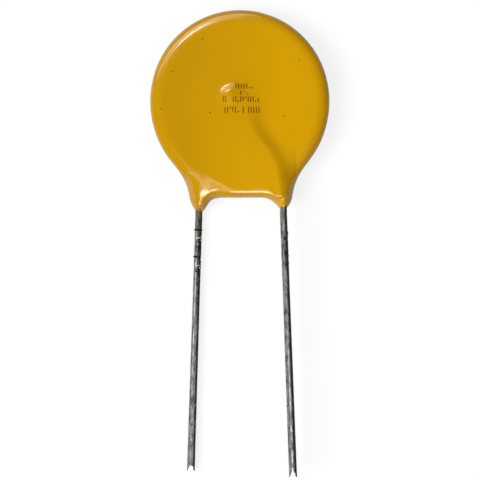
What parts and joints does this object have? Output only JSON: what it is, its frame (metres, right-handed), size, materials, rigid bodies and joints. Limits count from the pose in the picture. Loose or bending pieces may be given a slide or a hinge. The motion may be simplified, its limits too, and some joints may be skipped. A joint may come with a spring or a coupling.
{
  "type": "disc varistor",
  "caption": "Disc varistor: a round ceramic disc dipped in glossy yellow-orange lacquer, with a slanting ridge over each soldered wire and radial tinned leads that splay slightly outwards.",
  "frame": {"origin": "on the surface that the part lies on, under the middle of the whole outline", "axes": "+Z out of the front face, which carries the right-hand lead; -Y along the leads, from the disc to their tips; +X to the right when the front face is seen with the leads down"},
  "size_m": [0.021, 0.055, 0.0047],
  "materials": {
    "ceramic": "matt sintered",
    "silver": "matt fired silver",
    "solder": "bright solder",
    "tinned_wire": "drawn and tinned",
    "lacquer": "glossy dipped"
  },
  "bodies": {
    "root": {"ceramic_disc": "ceramic", "front_electrode": "silver", "rear_electrode": "silver", "front_solder": "solder", "rear_solder": "solder", "front_lead": "tinned_wire", "rear_lead": "tinned_wire", "epoxy_coating": "lacquer"}
  },
  "joints": []
}
